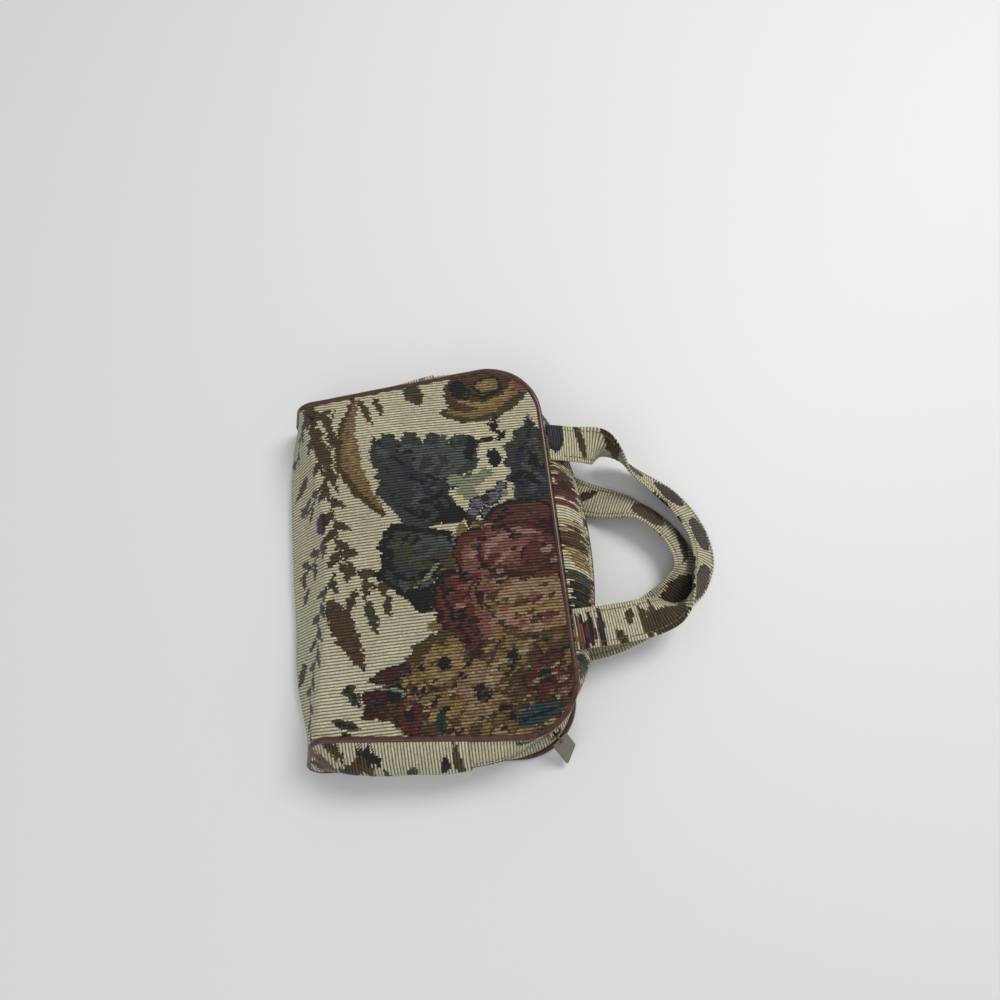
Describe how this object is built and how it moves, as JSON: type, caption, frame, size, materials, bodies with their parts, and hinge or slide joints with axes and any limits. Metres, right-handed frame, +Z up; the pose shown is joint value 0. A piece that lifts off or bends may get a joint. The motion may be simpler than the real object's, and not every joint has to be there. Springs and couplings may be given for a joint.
{
  "type": "toiletry bag",
  "caption": "Soft zipped toiletry bag in floral tapestry cloth with glossy piping, lying on its back, with two limp cloth handles and a drooping zip pull.",
  "frame": {"origin": "on the table under the middle of the front panel", "axes": "+X from the bag's bottom to its zipped top and handles, +Y across its width, +Z up from the back panel it lies on"},
  "size_m": [0.2753, 0.2616, 0.0463],
  "materials": {
    "tapestry_cloth": "ribbed floral tapestry weave, matte",
    "piping_vinyl": "glossy coated piping",
    "zip_tape": "fine dark twill",
    "zip_metal": "dull antique metal",
    "tab_leather": "grey-taupe, dark edges"
  },
  "bodies": {
    "bag": {"piping": "piping_vinyl", "body_panel": "tapestry_cloth", "gusset_near": "tapestry_cloth", "gusset_far": "tapestry_cloth", "zip_strip_front": "tapestry_cloth", "zip_strip_back": "tapestry_cloth", "zip_tape_front": "zip_tape", "zip_tape_back": "zip_tape", "zip_teeth_front": "zip_metal", "zip_teeth_back": "zip_metal", "zip_end_stops": "zip_metal", "handle_front": "tapestry_cloth", "handle_back": "tapestry_cloth"},
    "slider": {"zip_slider": "zip_metal"},
    "pull": {"pull_ring": "zip_metal", "pull_tab": "tab_leather"}
  },
  "joints": [
    {"name": "slider_travel", "type": "hinge", "parent": "bag", "child": "slider", "pos_m": [0.01113, -0.04723, 0.0206], "axis": [0, 0, 1], "range_deg": [-30, 36]},
    {"name": "pull_swing", "type": "hinge", "parent": "slider", "child": "pull", "pos_m": [0.06342, -0.1192, 0.0206], "axis": [-0.809, -0.5878, 0], "range_deg": [0, 90]}
  ]
}
